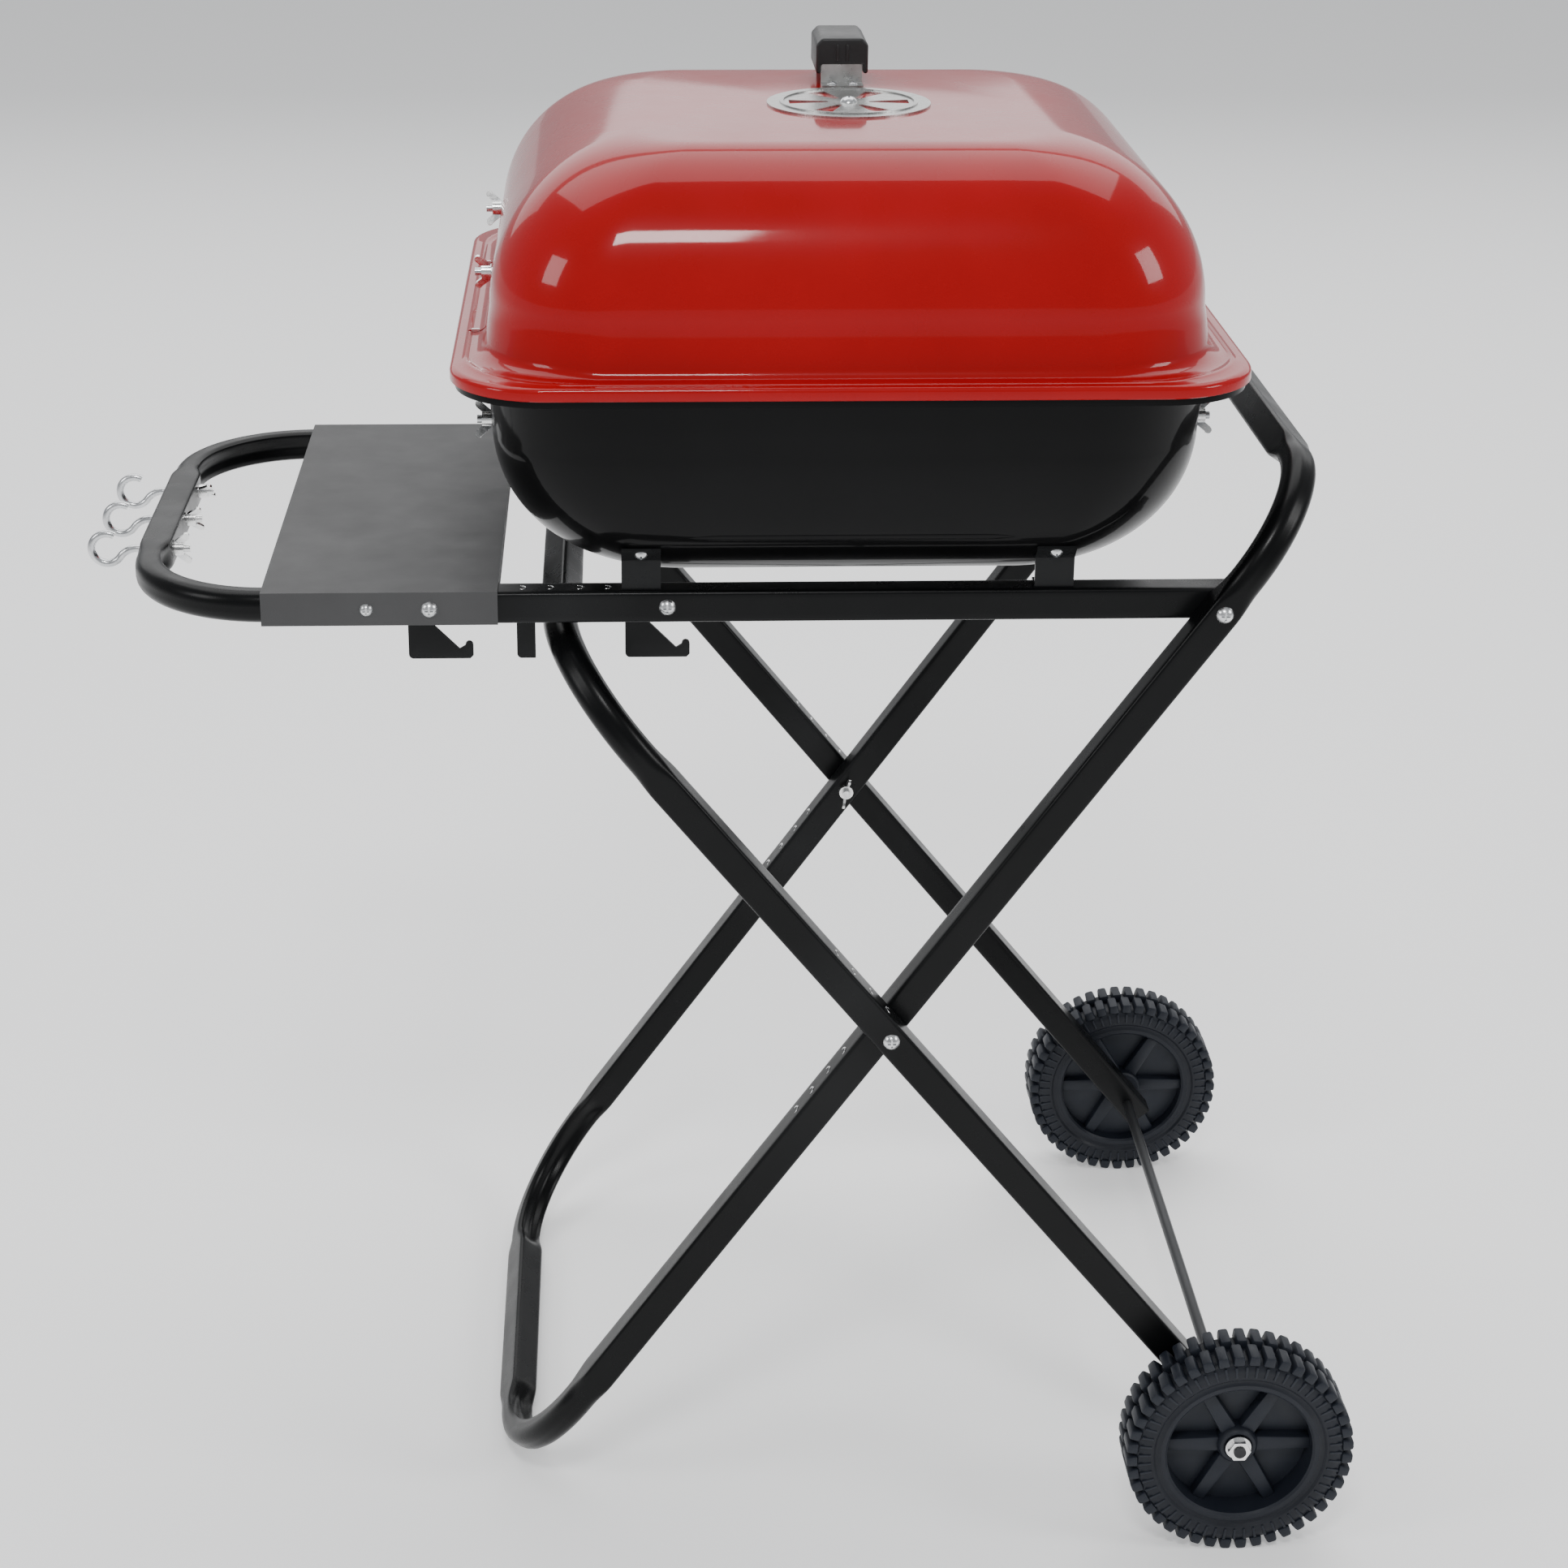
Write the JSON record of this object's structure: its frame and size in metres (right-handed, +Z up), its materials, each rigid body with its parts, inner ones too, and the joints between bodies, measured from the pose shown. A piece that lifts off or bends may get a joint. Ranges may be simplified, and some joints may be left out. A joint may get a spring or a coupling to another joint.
{
  "type": "charcoal grill trolley",
  "caption": "Rectangular enamelled kettle charcoal grill with a hinged lid, on a folding X-leg trolley with wheels, a side shelf and tool hooks.",
  "frame": {"origin": "centre of the footprint on the floor, under the middle of the trolley", "axes": "+Z up, +X from the side shelf to the handle end, +Y to the rear"},
  "size_m": [0.82, 0.53, 0.943],
  "materials": {
    "black_frame": "semi-gloss black powder coat",
    "dark_steel": "satin dark steel",
    "zinc_steel": "bright zinc plated",
    "grey_shelf": "matte grey powder coat",
    "wheel_plastic": "moulded, satin",
    "black_enamel": "gloss porcelain enamel",
    "red_enamel": "gloss porcelain enamel",
    "grip_plastic": "satin moulded",
    "vent_steel": "brushed, bright",
    "grate_chrome": "chrome plated wire"
  },
  "bodies": {
    "leg_a": {"foot_frame": "black_frame", "handle_frame": "black_frame", "leg_a_sleeves": "dark_steel", "deck_pivot_bolts": "zinc_steel", "deck_pivot_nuts": "zinc_steel", "deck_spacers": "zinc_steel", "leg_pivot_bolts": "zinc_steel", "leg_pivot_wing_nuts": "zinc_steel", "leg_spacers": "zinc_steel"},
    "leg_b": {"wheel_frame_top": "black_frame", "wheel_leg_front": "black_frame", "wheel_leg_rear": "black_frame", "leg_b_sleeves": "dark_steel", "axle": "dark_steel", "axle_spacers": "dark_steel", "axle_nuts": "zinc_steel"},
    "wheel_front": {"front_wheel": "wheel_plastic"},
    "wheel_rear": {"rear_wheel": "wheel_plastic"},
    "deck": {"shelf_loop": "black_frame", "front_rail": "black_frame", "rear_rail": "black_frame", "deck_sleeves": "dark_steel", "side_shelf": "grey_shelf", "shelf_screws": "zinc_steel", "front_hook_rack": "black_frame", "rear_hook_rack": "black_frame", "rack_bolts": "zinc_steel", "rack_nuts": "zinc_steel", "tool_hooks": "zinc_steel", "tool_hook_wing_nuts": "zinc_steel", "bowl_brackets": "black_frame", "bracket_screws": "zinc_steel", "bowl": "black_enamel", "grate_rests": "zinc_steel", "grate_rest_bolts": "zinc_steel", "grate_rest_wing_nuts": "zinc_steel", "charcoal_grate": "grate_chrome", "cooking_grate": "grate_chrome", "hinge_hooks": "zinc_steel", "hinge_hook_screws": "zinc_steel", "ash_damper_rivet": "zinc_steel"},
    "ash_vent": {"ash_damper": "zinc_steel"},
    "lid": {"lid": "red_enamel", "hinge_plates": "zinc_steel", "hinge_plate_bolts": "zinc_steel", "hinge_plate_wing_nuts": "zinc_steel", "handle_strap": "vent_steel", "strap_rivets": "zinc_steel", "lid_grip": "grip_plastic", "grip_screws": "zinc_steel", "vent_screw": "zinc_steel"},
    "lid_vent_disc": {"lid_vent": "vent_steel"}
  },
  "joints": [
    {"name": "deck_lift", "type": "hinge", "parent": "leg_a", "child": "deck", "pos_m": [0.3, 0, 0.638], "axis": [0, 1, 0], "range_deg": [0, 24]},
    {"name": "leg_fold", "type": "hinge", "parent": "leg_a", "child": "leg_b", "pos_m": [0.102, 0, 0.36], "axis": [0, 1, 0], "range_deg": [0, 18]},
    {"name": "lid_hinge", "type": "hinge", "parent": "deck", "child": "lid", "pos_m": [-0.168, 0, 0.78], "axis": [0, -1, 0], "range_deg": [0, 100]},
    {"name": "front_wheel_spin", "type": "hinge", "parent": "leg_b", "child": "wheel_front", "pos_m": [0.335, -0.247, 0.075], "axis": [0, 1, 0], "continuous": true},
    {"name": "rear_wheel_spin", "type": "hinge", "parent": "leg_b", "child": "wheel_rear", "pos_m": [0.335, 0.247, 0.075], "axis": [0, 1, 0], "continuous": true},
    {"name": "lid_vent_turn", "type": "hinge", "parent": "lid", "child": "lid_vent_disc", "pos_m": [0.08, 0, 0.912], "axis": [0, 0, 1], "range_deg": [0, 30]},
    {"name": "ash_vent_turn", "type": "hinge", "parent": "deck", "child": "ash_vent", "pos_m": [0.072, 0, 0.651], "axis": [0, 0, 1], "range_deg": [0, 30]}
  ],
  "couplings": [
    {"joint": "leg_fold", "follows": "deck_lift", "ratio": 0.75}
  ]
}
